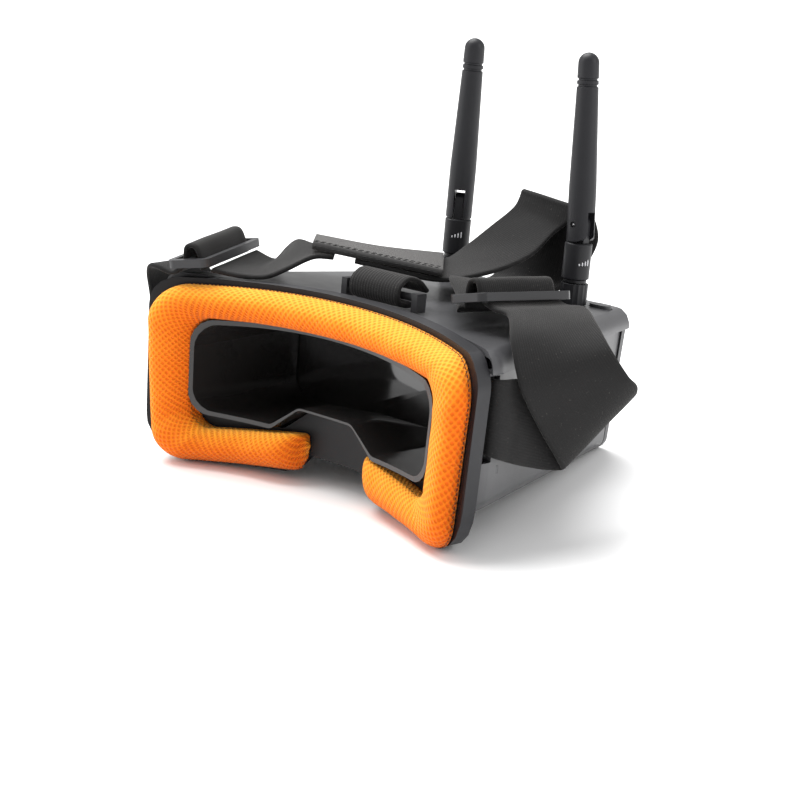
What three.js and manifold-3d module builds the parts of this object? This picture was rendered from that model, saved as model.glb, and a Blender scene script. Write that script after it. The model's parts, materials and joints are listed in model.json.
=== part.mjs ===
// Video goggles for flying a model by camera: a tapered case with a curved face frame and foam pad,
// a single large lens over a screen, two hinged antennas on top, and an elastic three-way headband.
// Millimetres. The case is drawn level (x to the wearer's right, y forward, z up) and then tipped so
// that it rests on the face frame's lower edge and the front of the case floor.
import * as THREE from 'three';
import { mergeVertices } from 'three/addons/utils/BufferGeometryUtils.js';
import Module from 'manifold-3d';

const wasm = await Module();
wasm.setup();

// ---- Driving dimensions -------------------------------------------------------------------------
const GAP = 0.3; // clearance between touching pieces
const FRAME_HALF_TOP = 80.5; // face frame half width at the brow
const FRAME_HALF_BOTTOM = 77.5; // and at the cheeks
const FRAME_TOP = 52.4; // face frame top at its side corners
const FRAME_BOTTOM = -14.8; // face frame bottom at the cheeks, below the level case floor
const NOSE_BOTTOM = -10.8; // face frame bottom beside the nose
const FRAME_THICK = 6.5;
const CROWN = 4.4; // rise of the brow line at the middle
const FACE_DEPTH = 22.8; // how far the middle of the frame stands forward of its sides
const FACE_HALF = 80; // half width over which the face curve runs
const FACE_POWER = 2.14;
const SEAM_HALF_TOP = 78.5; // foam outline
const SEAM_HALF_BOTTOM = 72.5;
const SEAM_TOP = 50.4;
const SEAM_BOTTOM = -15.2;
const FOAM_HALF = 61; // foam opening
const FOAM_THICK = 10;
const CASE_BACK = 13; // case sides run straight to here, then taper
const CASE_FRONT = 126;
const CASE_HALF_BACK = 80;
const CASE_HALF_FRONT_TOP = 47.1;
const CASE_HALF_FRONT_BOTTOM = 43.7;
const CASE_TOP = 54.4;
const WALL = 2.2;
const TUNNEL_HALF = 58; // light tunnel, inside
const LENS_Y = 58; // back face of the lens
const SCREEN_Y = 98; // back face of the screen
const ANTENNA_X = 29.7;
const ANTENNA_Y = 112.4;
const COLLAR_Z = 78; // foot of the whip
const PIN_Z = 84.5; // knuckle pin
const WHIP_LENGTH = 69.1; // collar to tip
const WHIP_RADIUS = 5.1;
const TIP_RADIUS = 3.9;
const RIGHT_LEAN = -4.3; // degrees, rest lean of the right whip about its pin
const LEFT_TURN = 35; // degrees, rest turn of the left antenna about its connector
const WEB_THICK = 1.8; // headband webbing

const COLOURS = {
  plastic: [0x3c3d40, 0.5, 0],
  dark: [0x1d1d1f, 0.6, 0],
  foam: [0xff8a1e, 0.95, 0],
  web: [0x19191a, 0.95, 0],
  glass: [0x101114, 0.08, 0],
  metal: [0xb0a060, 0.35, 1],
  steel: [0x8d8f92, 0.4, 1],
  board: [0x0f4a2a, 0.6, 0],
  cell: [0x9aa0a8, 0.5, 0.3],
  antenna: [0x222326, 0.55, 0],
};

// ---- Helpers ------------------------------------------------------------------------------------
const V2 = (x, y) => new THREE.Vector2(x, y);
const V3 = (x, y, z) => new THREE.Vector3(x, y, z);
const range = (n) => Array.from({ length: n }, (unused, i) => i);
const mix = (a, b, t) => a + (b - a) * t;
const faceCurve = (x) => FACE_DEPTH * (1 - Math.min(Math.abs(x) / FACE_HALF, 1) ** FACE_POWER);

function solid(geometry) {
  const bare = geometry.clone();
  bare.deleteAttribute('normal');
  bare.deleteAttribute('uv');
  const merged = mergeVertices(bare, 1e-4);
  const mesh = new wasm.Mesh({
    numProp: 3,
    vertProperties: new Float32Array(merged.attributes.position.array),
    triVerts: new Uint32Array(merged.index.array),
  });
  return new wasm.Manifold(mesh);
}

function geometryOf(manifold) {
  const mesh = manifold.getMesh();
  const geometry = new THREE.BufferGeometry();
  geometry.setAttribute('position', new THREE.BufferAttribute(new Float32Array(mesh.vertProperties), 3));
  geometry.setIndex(new THREE.BufferAttribute(new Uint32Array(mesh.triVerts), 1));
  return geometry;
}

// Polygon with rounded corners; each corner is [x, z, radius].
function rounded(corners, perCorner = 5) {
  const points = [];
  corners.forEach(([x, z, radius], i) => {
    const before = corners[(i + corners.length - 1) % corners.length];
    const after = corners[(i + 1) % corners.length];
    const corner = V2(x, z);
    if (!radius) {
      points.push(corner);
      return;
    }
    const u = V2(before[0] - x, before[1] - z).normalize();
    const v = V2(after[0] - x, after[1] - z).normalize();
    const half = Math.acos(THREE.MathUtils.clamp(u.dot(v), -1, 1)) / 2;
    const start = corner.clone().addScaledVector(u, radius / Math.tan(half));
    const end = corner.clone().addScaledVector(v, radius / Math.tan(half));
    const centre = corner.clone().addScaledVector(u.clone().add(v).normalize(), radius / Math.sin(half));
    const a = start.clone().sub(centre);
    const b = end.clone().sub(centre);
    for (const k of range(perCorner + 1)) {
      const t = k / perCorner;
      const arm = V2(mix(a.x, b.x, t), mix(a.y, b.y, t)).setLength(radius);
      points.push(centre.clone().add(arm));
    }
  });
  return points;
}

// Prism of an x-z outline between two y values.
function prismY(points, y0, y1) {
  const geometry = new THREE.ExtrudeGeometry(new THREE.Shape(points), {
    depth: y1 - y0, bevelEnabled: false, curveSegments: 1,
  });
  geometry.rotateX(Math.PI / 2);
  geometry.translate(0, y1, 0);
  return solid(geometry);
}

// Prism of an x-y outline between two z values.
function prismZ(points, z0, z1) {
  const geometry = new THREE.ExtrudeGeometry(new THREE.Shape(points), {
    depth: z1 - z0, bevelEnabled: false, curveSegments: 1,
  });
  geometry.translate(0, 0, z0);
  return solid(geometry);
}

function box(x0, x1, y0, y1, z0, z1) {
  const geometry = new THREE.BoxGeometry(x1 - x0, y1 - y0, z1 - z0);
  geometry.translate((x0 + x1) / 2, (y0 + y1) / 2, (z0 + z1) / 2);
  return solid(geometry);
}

function cylinderZ(radius, z0, z1, sides = 24, x = 0, y = 0) {
  const geometry = new THREE.CylinderGeometry(radius, radius, z1 - z0, sides);
  geometry.rotateX(Math.PI / 2);
  geometry.translate(x, y, (z0 + z1) / 2);
  return solid(geometry);
}

function cylinderY(radius, y0, y1, x, z, sides = 20) {
  const geometry = new THREE.CylinderGeometry(radius, radius, y1 - y0, sides);
  geometry.translate(x, (y0 + y1) / 2, z);
  return solid(geometry);
}

// Body of revolution about z; profile is [radius, z] from the axis at the bottom to the axis on top.
function turned(profile, sides = 24) {
  const geometry = new THREE.LatheGeometry(profile.map(([r, z]) => V2(r, z)), sides);
  geometry.rotateX(Math.PI / 2);
  return geometry;
}

// Closed skin through matching rings of points, with fan caps.
function skin(rings) {
  const count = rings[0].length;
  const positions = rings.flat().flatMap((p) => [p.x, p.y, p.z]);
  const index = [];
  for (const i of range(rings.length - 1)) {
    for (const j of range(count)) {
      const a = i * count + j;
      const b = i * count + ((j + 1) % count);
      index.push(a, b, a + count, b, b + count, a + count);
    }
  }
  const cap = (ring, offset, flip) => {
    const centre = ring.reduce((sum, p) => sum.add(p), V3(0, 0, 0)).divideScalar(count);
    const hub = positions.length / 3;
    positions.push(centre.x, centre.y, centre.z);
    for (const j of range(count)) {
      const a = offset + j;
      const b = offset + ((j + 1) % count);
      index.push(...(flip ? [hub, b, a] : [hub, a, b]));
    }
  };
  cap(rings[0], 0, true);
  cap(rings[rings.length - 1], (rings.length - 1) * count, false);
  const geometry = new THREE.BufferGeometry();
  geometry.setAttribute('position', new THREE.Float32BufferAttribute(positions, 3));
  geometry.setIndex(index);
  return geometry;
}

// Turns a skin the right way out.
function outward(geometry) {
  const p = geometry.attributes.position;
  const index = geometry.index.array;
  let volume = 0;
  const [a, b, c] = [V3(), V3(), V3()];
  for (let i = 0; i < index.length; i += 3) {
    a.fromBufferAttribute(p, index[i]);
    b.fromBufferAttribute(p, index[i + 1]);
    c.fromBufferAttribute(p, index[i + 2]);
    volume += a.dot(b.cross(c));
  }
  if (volume < 0) {
    const flipped = Array.from(index);
    for (let i = 0; i < flipped.length; i += 3) {
      [flipped[i], flipped[i + 1]] = [flipped[i + 1], flipped[i]];
    }
    geometry.setIndex(flipped);
  }
  return geometry;
}

// Loft of x-z outlines, each at its own y: sections are [y, points].
function loftY(sections) {
  return solid(outward(skin(sections.map(([y, points]) => points.map((p) => V3(p.x, y, p.y))))));
}

// Flat webbing through pairs of edge points [near edge, far edge], smoothed along its length.
function webbing(pairs, steps, thick = WEB_THICK) {
  const curve = (side) => new THREE.CatmullRomCurve3(pairs.map((pair) => V3(...pair[side])), false, 'centripetal');
  const [near, far] = [curve(0), curve(1)];
  const rings = range(steps + 1).map((i) => {
    const t = i / steps;
    const a = near.getPoint(t);
    const b = far.getPoint(t);
    const along = near.getTangent(t).add(far.getTangent(t)).normalize();
    const normal = b.clone().sub(a).cross(along).setLength(thick / 2);
    return [a.clone().add(normal), b.clone().add(normal), b.clone().sub(normal), a.clone().sub(normal)];
  });
  return outward(skin(rings));
}

// Everything behind the face curve moved forward by offset, as a solid wall of plan outline.
function behindFace(offset) {
  const reach = 95;
  const curve = range(33).map((i) => {
    const x = mix(-reach, reach, i / 32);
    return V2(x, faceCurve(x) + offset);
  });
  return prismZ([V2(reach, -60), ...curve.reverse(), V2(-reach, -60)].reverse(), -60, 100);
}

function tube(points, radius, sides, steps) {
  const section = new THREE.Shape(range(sides).map((i) => {
    const angle = (2 * Math.PI * i) / sides;
    return V2(radius * Math.cos(angle), radius * Math.sin(angle));
  }));
  return new THREE.ExtrudeGeometry(section, {
    steps, bevelEnabled: false, extrudePath: new THREE.CatmullRomCurve3(points.map((p) => V3(...p))),
  });
}

const goggles = new THREE.Group();
const level = new THREE.Group(); // the goggles drawn level
goggles.add(level);

function add(name, shape, finish, parent = level) {
  const [color, roughness, metalness] = COLOURS[finish];
  const geometry = shape.isBufferGeometry ? shape : geometryOf(shape);
  const mesh = new THREE.Mesh(geometry, new THREE.MeshStandardMaterial({ color, roughness, metalness }));
  mesh.name = name;
  parent.add(mesh);
  return mesh;
}

// ---- Outlines -----------------------------------------------------------------------------------
// Brow-crowned outline: points of the top edge are raised towards the middle.
function crowned(points, half, crown) {
  const dense = [];
  points.forEach((p, i) => {
    const next = points[(i + 1) % points.length];
    dense.push(p);
    if (p.y > 30 && next.y > 30 && Math.abs(next.x - p.x) > 20) {
      for (const k of range(11)) dense.push(p.clone().lerp(next, (k + 1) / 12));
    }
  });
  return dense.map((p) => (p.y > 20 ? V2(p.x, p.y + crown * (1 - (p.x / half) ** 2)) : p));
}

function frameOutline() {
  const corners = [
    [FRAME_HALF_TOP, FRAME_TOP, 10], [-FRAME_HALF_TOP, FRAME_TOP, 10],
    [-FRAME_HALF_BOTTOM, FRAME_BOTTOM, 16], [-22, NOSE_BOTTOM, 6], [-14, -2.6, 8],
    [14, -2.6, 8], [22, NOSE_BOTTOM, 6], [FRAME_HALF_BOTTOM, FRAME_BOTTOM, 16],
  ];
  return crowned(rounded(corners), FRAME_HALF_TOP, CROWN);
}

function openingOutline(half, top, bottom, radius, noseTop, crown) {
  const corners = [
    [half, top, radius], [-half, top, radius], [-half + 1, bottom, radius], [-25, bottom, 4],
    [-13, noseTop, 5], [13, noseTop, 5], [25, bottom, 4], [half - 1, bottom, radius],
  ];
  return crowned(rounded(corners), half, crown);
}

// Open line through corners, rounded, with the straights divided so two lines can be matched.
function openPath(corners, straights) {
  const closed = rounded(corners, 5);
  const per = 6;
  const groups = [[closed[0]], ...range(corners.length - 2).map((i) => closed.slice(1 + i * per, 1 + (i + 1) * per)),
    [closed[closed.length - 1]]];
  return groups.flatMap((group, i) => {
    const before = i ? groups[i - 1][groups[i - 1].length - 1] : null;
    const count = before ? straights[i - 1] : 1;
    const bridge = range(count - 1).map((k) => before.clone().lerp(group[0], (k + 1) / count));
    return [...bridge, ...group];
  });
}

const lift = (p, half) => (p.y > 20 ? V2(p.x, p.y + CROWN * (1 - (p.x / half) ** 2)) : p);

// Case cross-section at a distance y: sides pulled in by inset, between floor and top.
function caseOutline(y, inset, floor, top, radius = 6.5 - inset) {
  const t = THREE.MathUtils.clamp((y - CASE_BACK) / (CASE_FRONT - CASE_BACK), 0, 1.1);
  const halfTop = mix(CASE_HALF_BACK, CASE_HALF_FRONT_TOP, t) - inset;
  const halfBottom = mix(CASE_HALF_BACK - 1, CASE_HALF_FRONT_BOTTOM, t) - inset;
  return rounded([[halfTop, top, radius], [-halfTop, top, radius],
    [-halfBottom, floor, radius], [halfBottom, floor, radius]], 4);
}

function caseBody(inset, y0, y1, floor, top, radius) {
  const stations = [y0, CASE_BACK, y1].filter((y, i, all) => i === 0 || y > all[0]);
  return loftY(stations.map((y) => [y, caseOutline(y, inset, floor, top, radius)]));
}

// The hollow for the nose, narrowing forward and sinking into the case floor.
function noseHollow(grow) {
  const at = (y, half, top) => [y, rounded([[half * 0.62 + grow, top + grow, 5], [-half * 0.62 - grow, top + grow, 5],
    [-half - grow, -30, 1], [half + grow, -30, 1]], 4)];
  return loftY([at(-5, 27, 9.5), at(28, 25, 9.3), at(60 + grow, 13, 0.4)]);
}

// ---- Face frame, foam and light tunnel ----------------------------------------------------------
function faceFrame() {
  const slab = behindFace(FRAME_THICK).subtract(behindFace(0));
  const opening = openingOutline(TUNNEL_HALF + 2.4, 40.6, 4.7, 8, 13.8, CROWN);
  const plate = prismY(frameOutline(), -20, 60).subtract(prismY(opening, -30, 70));
  return plate.intersect(slab);
}

// Foam pad: a domed section swept round the face from one side of the nose to the other.
// Each section point is [share of the way in from the seam, height off the frame].
const FOAM_SECTION = [[0, 0.03], [0.05, 0.42], [0.18, 0.74], [0.36, 0.94], [0.56, 1], [0.8, 0.94], [0.95, 0.78],
  [1, 0.6], [0.99, 0.03]];
function foamPad() {
  const straights = [6, 4, 14, 4, 6];
  const outer = openPath([[-13.6, -8.8, 0], [-SEAM_HALF_BOTTOM, SEAM_BOTTOM, 11], [-SEAM_HALF_TOP, SEAM_TOP, 12.5],
    [SEAM_HALF_TOP, SEAM_TOP, 12.5], [SEAM_HALF_BOTTOM, SEAM_BOTTOM, 11], [19.5, -10, 0]], straights);
  const inner = openPath([[-11, 5, 0], [-FOAM_HALF + 1, -2, 7], [-FOAM_HALF, 40.5, 7],
    [FOAM_HALF, 40.5, 7], [FOAM_HALF - 1, -2, 7], [17.5, 5, 0]], straights);
  const rings = outer.map((o, i) => {
    const end = Math.min(i, outer.length - 1 - i);
    const fullness = [0.16, 0.48, 0.74, 0.9, 0.98][end] ?? 1;
    const a = lift(o, SEAM_HALF_TOP);
    const b = lift(inner[i], SEAM_HALF_TOP);
    return FOAM_SECTION.map(([share, height]) => {
      const p = a.clone().lerp(b, share);
      return V3(p.x, faceCurve(p.x) - FOAM_THICK * height * (height > 0.1 ? fullness : 1), p.y);
    });
  });
  return outward(skin(rings));
}

function lightTunnel() {
  const section = (y, grow, top, nose) => [
    y, openingOutline(TUNNEL_HALF + grow, top + grow, 7 - grow, 8, nose - grow * 0.5, CROWN)];
  const tunnel = (grow, y0, y1) => loftY([
    section(y0, grow, 38, 15.5), section(30, grow, 38, 15.5), section(y1, grow, 42, 8)]);
  const shell = tunnel(1.6, -20, LENS_Y - GAP).subtract(tunnel(0, -25, LENS_Y + 5));
  return shell.subtract(behindFace(3 - FOAM_THICK));
}

add('face_frame', faceFrame(), 'dark');
add('foam_pad', foamPad(), 'foam');
add('light_tunnel', lightTunnel(), 'dark');

// ---- Case ---------------------------------------------------------------------------------------
const SLOT = { y0: 8, y1: 13.6, z0: 17.5, z1: 46.6 }; // headband slots in the case sides
const LID_LIP = 47.4; // lower edge of the lid's skirt
const COVER_BACK = 122.6; // back face of the front cover
const BUTTON = { half: 4.6, radius: 2.6, rise: 1.2, travel: 1 };
const BUTTONS = [['power_button', 44.5, 99, -16], ['channel_button', 38.4, 118.4, 0],
  ['band_button', -44.5, 99, 16], ['search_button', -38.4, 118.4, 0]];
const SCREWS = [[-65.5, 30], [65.5, 30], [-40, 82], [40, 82]];
const PORT_Z = 13;
const PORTS = [{ y: 76, half: 4, tall: 1.6 }, { y: 88, half: 3.2, tall: 3.2 }];

// Stadium outline, half long and radius wide.
function stadium(half, radius) {
  return rounded([[half, radius, radius * 0.999], [-half, radius, radius * 0.999],
    [-half, -radius, radius * 0.999], [half, -radius, radius * 0.999]], 6);
}

function pill(half, radius, z0, z1, x, y, turn) {
  return prismZ(stadium(half, radius), z0, z1).rotate([0, 0, turn]).translate([x, y, 0]);
}

function lowerCase() {
  const rim = LID_LIP + 1.2; // the walls stand up inside the lid's skirt
  let shell = caseBody(1.3, -5, COVER_BACK - GAP, 0, 70);
  shell = shell.subtract(caseBody(1.3 + WALL, -10, 136, WALL, 80, 2.5));
  shell = shell.subtract(box(-100, 100, -20, 200, rim, 100));
  for (const side of [-1, 1]) {
    const [x0, x1] = side > 0 ? [69.5, 76.2] : [-76.2, -69.5];
    for (const z of [12.6, SLOT.z1 + 1]) shell = shell.add(box(x0, x1, 13.9, 20, z, z + 2.6));
    const [c0, c1] = side > 0 ? [60, 95] : [-95, -60];
    shell = shell.subtract(box(c0, c1, SLOT.y0, SLOT.y1, SLOT.z0, SLOT.z1));
  }
  for (const [x, y] of SCREWS) {
    shell = shell.add(cylinderZ(4, 0.5, 8, 20, x, y)).subtract(cylinderZ(2.9, -1, 3, 20, x, y));
    shell = shell.subtract(cylinderZ(1.5, -1, 30, 16, x, y));
  }
  shell = shell.subtract(noseHollow(0));
  for (const { y, half, tall } of PORTS) {
    shell = shell.subtract(box(-70, -44, y - half - 1, y + half + 1, PORT_Z - tall - 1, PORT_Z + tall + 1));
  }
  return shell.subtract(behindFace(FRAME_THICK + GAP));
}

function lid() {
  let shell = caseBody(0, -5, CASE_FRONT + 0.6, -20, CASE_TOP);
  shell = shell.subtract(caseBody(1.3 - GAP, -10, CASE_FRONT - 0.4, -30, CASE_TOP - WALL, 2.5));
  shell = shell.subtract(box(-100, 100, -20, 200, -50, LID_LIP));
  for (const [, x, y, turn] of BUTTONS) {
    shell = shell.subtract(pill(BUTTON.half + GAP, BUTTON.radius + GAP, 40, 60, x, y, turn));
  }
  for (const side of [-1, 1]) shell = shell.subtract(cylinderZ(3.5, 40, 60, 24, side * ANTENNA_X, ANTENNA_Y));
  return shell.subtract(behindFace(FRAME_THICK + GAP));
}

function frontCover() {
  const plate = caseBody(1.3, COVER_BACK, CASE_FRONT, 0, CASE_TOP - WALL - GAP, 5);
  const recess = caseBody(8, COVER_BACK + 2.2, 136, 7, CASE_TOP - 11, 4);
  const step = box(-100, 100, CASE_FRONT - 0.7, 200, LID_LIP - GAP, 100);
  return plate.subtract(recess).subtract(step);
}

add('lower_case', lowerCase(), 'plastic');
add('top_case', lid(), 'plastic');
add('front_cover', frontCover(), 'plastic');

for (const [name, x, y, turn] of BUTTONS) {
  const cap = pill(BUTTON.half, BUTTON.radius, CASE_TOP - WALL - 1.4, CASE_TOP + BUTTON.rise, x, y, turn);
  const under = CASE_TOP - WALL;
  const flange = pill(BUTTON.half + 1, BUTTON.radius + 1, under - 1.7, under - GAP - 0.2, x, y, turn);
  add(name, cap.add(flange), 'dark');
}

// Cross-recessed self-tapping screw under the case floor.
function screw(x, y, top) {
  const body = solid(turned([[0, top - 9], [1.1, top - 8], [1.1, top - 1.6], [2.5, top - 1.6], [2.5, top - 0.4],
    [2, top], [0, top]], 16));
  const cross = box(-1.5, 1.5, -0.3, 0.3, top - 0.8, top + 1).add(box(-0.3, 0.3, -1.5, 1.5, top - 0.8, top + 1));
  return body.subtract(cross).rotate([180, 0, 0]).translate([x, y, 0]);
}
SCREWS.forEach(([x, y], i) => add(`case_screw_${i + 1}`, screw(x, y, -1.2), 'steel'));

// Plain rods inside the case sides that the headband loops round.
const BAR_X = 72.5;
const BAR_Y = 17;
for (const [side, name] of [[-1, 'left'], [1, 'right']]) {
  const bar = cylinderZ(1.4, 15.6, SLOT.z1 + 0.6, 16, side * BAR_X, BAR_Y);
  add(`strap_rod_${name}`, bar, 'steel');
}

// ---- Optics and electronics ---------------------------------------------------------------------
function plateY(half, floor, top, radius, y0, y1) {
  const corners = [[half, top, radius], [-half, top, radius], [-half, floor, radius], [half, floor, radius]];
  return prismY(rounded(corners, 4), y0, y1);
}

const LENS_HALF = 58;
add('lens', plateY(LENS_HALF, 4, 49.6, 6, LENS_Y, LENS_Y + 3), 'glass');
add('lens_frame', plateY(58.4, 3, 50.6, 6, LENS_Y + 3.3, LENS_Y + 6.3)
  .subtract(plateY(54, 8, 46, 5, LENS_Y, LENS_Y + 10)), 'dark');
add('screen_bezel', plateY(48, 3, 48.8, 3, SCREEN_Y - 3.6, SCREEN_Y - 0.3)
  .subtract(plateY(43, 7, 45.2, 2, SCREEN_Y - 10, SCREEN_Y + 4)), 'dark');
add('screen_panel', plateY(46, 4, 48.4, 1.5, SCREEN_Y, SCREEN_Y + 2.2), 'glass');
add('screen_backlight', plateY(46, 4, 48.4, 1.5, SCREEN_Y + 2.5, SCREEN_Y + 4.6), 'steel');
const BOARD_Y = 105;
add('main_board', plateY(44, 4, 49, 1.5, BOARD_Y, BOARD_Y + 1.6), 'board');
add('video_chip', box(-8, 8, BOARD_Y + 1.9, BOARD_Y + 3.2, 10, 26), 'dark');
for (const [side, name] of [[-1, 'left'], [1, 'right']]) {
  const x = side * 27;
  const can = box(x - 10, x + 10, BOARD_Y + 1.9, BOARD_Y + 4.3, 14, 40);
  add(`receiver_${name}`, can, 'steel');
}
add('battery', plateY(28, 6, 34, 2.6, 112.4, 119.4), 'cell');
add('buzzer', cylinderY(5, BOARD_Y + 1.9, BOARD_Y + 6, 0, 36, 24), 'dark');
const [usb, av] = PORTS;
add('usb_socket', box(-57.6, -50, usb.y - usb.half, usb.y + usb.half, PORT_Z - usb.tall, PORT_Z + usb.tall)
  .subtract(box(-60, -51, usb.y - usb.half + 0.6, usb.y + usb.half - 0.6, PORT_Z - 1, PORT_Z + 1)), 'steel');
const jack = new THREE.CylinderGeometry(av.half, av.half, 9, 20).rotateZ(Math.PI / 2).translate(-50, av.y, PORT_Z);
const jackBore = new THREE.CylinderGeometry(1.8, 1.8, 15, 16).rotateZ(Math.PI / 2).translate(-54, av.y, PORT_Z);
add('av_socket', solid(jack).subtract(solid(jackBore)), 'dark');

// ---- Antennas -----------------------------------------------------------------------------------
const NUT_TOP = 62.6;
const KNUCKLE = { thick: 3.4, half: 3.3, reach: 4.6 };

function connector() {
  return turned([[0, 42], [2.4, 42], [2.4, 46], [4.3, 46], [4.3, CASE_TOP - WALL - GAP], [3.1, CASE_TOP - WALL - GAP],
    [3.1, CASE_TOP + 2], [0, CASE_TOP + 2]], 20);
}

function nut() {
  const knurl = range(32).map((i) => {
    const a = (2 * Math.PI * i) / 32;
    const r = i % 2 ? 5.2 : 4.9;
    return V2(r * Math.cos(a), r * Math.sin(a));
  });
  return prismZ(knurl, CASE_TOP + GAP, NUT_TOP).subtract(cylinderZ(3.5, 40, CASE_TOP + 2.4, 20));
}

function hingeBase() {
  const stem = solid(turned([[0, NUT_TOP + GAP], [4.3, NUT_TOP + GAP], [4.3, NUT_TOP + 1.4], [WHIP_RADIUS, NUT_TOP + 1.9],
    [WHIP_RADIUS, COLLAR_Z - 0.7], [WHIP_RADIUS - 0.4, COLLAR_Z - 0.3], [0, COLLAR_Z - 0.3]], 28));
  const tongue = box(-KNUCKLE.half, KNUCKLE.half, -KNUCKLE.thick / 2, KNUCKLE.thick / 2, COLLAR_Z - 3, PIN_Z);
  const eye = cylinderY(KNUCKLE.half, -KNUCKLE.thick / 2, KNUCKLE.thick / 2, 0, PIN_Z, 24);
  const bore = cylinderY(1.1, -9, 9, 0, PIN_Z, 16);
  return stem.add(tongue).add(eye).subtract(bore);
}

function whip() {
  const foot = COLLAR_Z;
  const top = foot + WHIP_LENGTH;
  const groove = (z, r) => [[r, z - 0.5], [r - 0.5, z - 0.3], [r - 0.5, z + 0.3], [r, z + 0.5]];
  const rod = solid(turned([[0, foot], [WHIP_RADIUS - 0.3, foot], [WHIP_RADIUS, foot + 0.5], [WHIP_RADIUS, foot + 20],
    ...groove(top - 12, TIP_RADIUS + 0.12), ...groove(top - 9.8, TIP_RADIUS + 0.1),
    ...range(7).map((i) => {
      const a = (Math.PI / 2) * (i / 6);
      return [TIP_RADIUS * Math.cos(a), top - TIP_RADIUS + TIP_RADIUS * Math.sin(a)];
    }).slice(0, 6), [0, top]], 28));
  const slotHalf = KNUCKLE.thick / 2 + GAP;
  const fork = box(-9, 9, -slotHalf, slotHalf, foot - 5, PIN_Z + KNUCKLE.reach);
  // The heel is rounded about the pin on the side the whip folds to.
  const heel = box(0.4, 9, -9, 9, foot - 5, PIN_Z - 0.5).subtract(cylinderY(6.4, -10, 10, 0, PIN_Z, 40));
  return rod.subtract(fork).subtract(heel).subtract(cylinderY(1.1, -9, 9, 0, PIN_Z, 16));
}

function pin() {
  return cylinderY(0.85, -4.6, 4.6, 0, PIN_Z, 14);
}

for (const [side, name, turn, lean] of [[-1, 'left', LEFT_TURN + 90, 0], [1, 'right', 0, RIGHT_LEAN]]) {
  const mast = new THREE.Group();
  mast.position.set(side * ANTENNA_X, ANTENNA_Y, 0);
  level.add(mast);
  add(`connector_${name}`, connector(), 'metal', mast);
  add(`antenna_nut_${name}`, nut(), 'antenna', mast);
  const swivelled = new THREE.Group();
  swivelled.rotation.z = THREE.MathUtils.degToRad(turn);
  mast.add(swivelled);
  add(`hinge_base_${name}`, hingeBase(), 'antenna', swivelled);
  add(`hinge_pin_${name}`, pin(), 'steel', swivelled);
  const swing = new THREE.Group();
  swing.position.set(0, 0, PIN_Z);
  swing.rotation.y = THREE.MathUtils.degToRad(lean);
  swivelled.add(swing);
  const arm = new THREE.Group();
  arm.position.set(0, 0, -PIN_Z);
  swing.add(arm);
  add(`whip_${name}`, whip(), 'antenna', arm);
}

// Coaxial leads from the receivers to the antenna connectors.
for (const [side, name] of [[-1, 'left'], [1, 'right']]) {
  const x = side * ANTENNA_X;
  const route = [[x, ANTENNA_Y, 41.6], [x, ANTENNA_Y, 38], [x - side, 111.4, 33], [x - side * 2, 110.8, 30]];
  add(`coax_${name}`, tube(route, 0.7, 8, 14), 'dark');
}

// ---- Headband -----------------------------------------------------------------------------------
const BUCKLE = { half: 22.5, depth: 8.4, bar: 2.4, rim: 2.8, thick: 3 };

// Three-bar slide: bars along u, spaced across v, flat faces along w.
function buckle() {
  const outline = rounded([[BUCKLE.half, BUCKLE.depth, 3], [-BUCKLE.half, BUCKLE.depth, 3],
    [-BUCKLE.half, -BUCKLE.depth, 3], [BUCKLE.half, -BUCKLE.depth, 3]], 4);
  let plate = prismZ(outline, -BUCKLE.thick / 2, BUCKLE.thick / 2);
  const slotHalf = BUCKLE.half - BUCKLE.rim;
  const inner = BUCKLE.bar / 2;
  const outer = BUCKLE.depth - BUCKLE.bar;
  plate = plate.subtract(box(-slotHalf, slotHalf, inner, outer, -5, 5));
  return plate.subtract(box(-slotHalf, slotHalf, -outer, -inner, -5, 5));
}

// Frame of a buckle from its centre, its bar direction and the direction across its bars.
function buckleFrame(centre, along, across) {
  const u = V3(...along).normalize();
  const w = u.clone().cross(V3(...across)).normalize();
  const v = w.clone().cross(u);
  const matrix = new THREE.Matrix4().makeBasis(u, v, w).setPosition(V3(...centre));
  const at = (a, b, c) => V3(a, b, c).applyMatrix4(matrix).toArray();
  return { matrix, at };
}

function addBuckle(name, frame) {
  const group = new THREE.Group();
  group.applyMatrix4(frame.matrix);
  level.add(group);
  add(name, buckle(), 'plastic', group);
}

const rightBuckle = buckleFrame([49.5, 51, 64.6], [0.08, 1, -0.03], [-0.96, 0.08, -0.22]);
const leftBuckle = buckleFrame([-71.2, 24, 61.4], [0.35, -0.92, -0.085], [0.92, 0.2, 0.14]);
addBuckle('buckle_right', rightBuckle);
addBuckle('buckle_left', leftBuckle);

const WEB_HALF = 18.8; // half the width of the webbing where it passes a buckle
const SLOT_MID = (BUCKLE.bar / 2 + BUCKLE.depth - BUCKLE.bar) / 2;
// Edge pair of the webbing at a buckle: v across the bars, w above them.
const through = (frame, v, w, half = WEB_HALF) => [frame.at(-half, v, w), frame.at(half, v, w)];

// From under the outer bar, up over the middle bar and down through the far slot.
function overBuckle(frame, under) {
  return [
    through(frame, -8.6, under), through(frame, -SLOT_MID, -0.6), through(frame, -1.6, 5.6),
    through(frame, 1.6, 5.6), through(frame, SLOT_MID, 0), through(frame, SLOT_MID + 0.3, -3),
  ];
}

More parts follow.
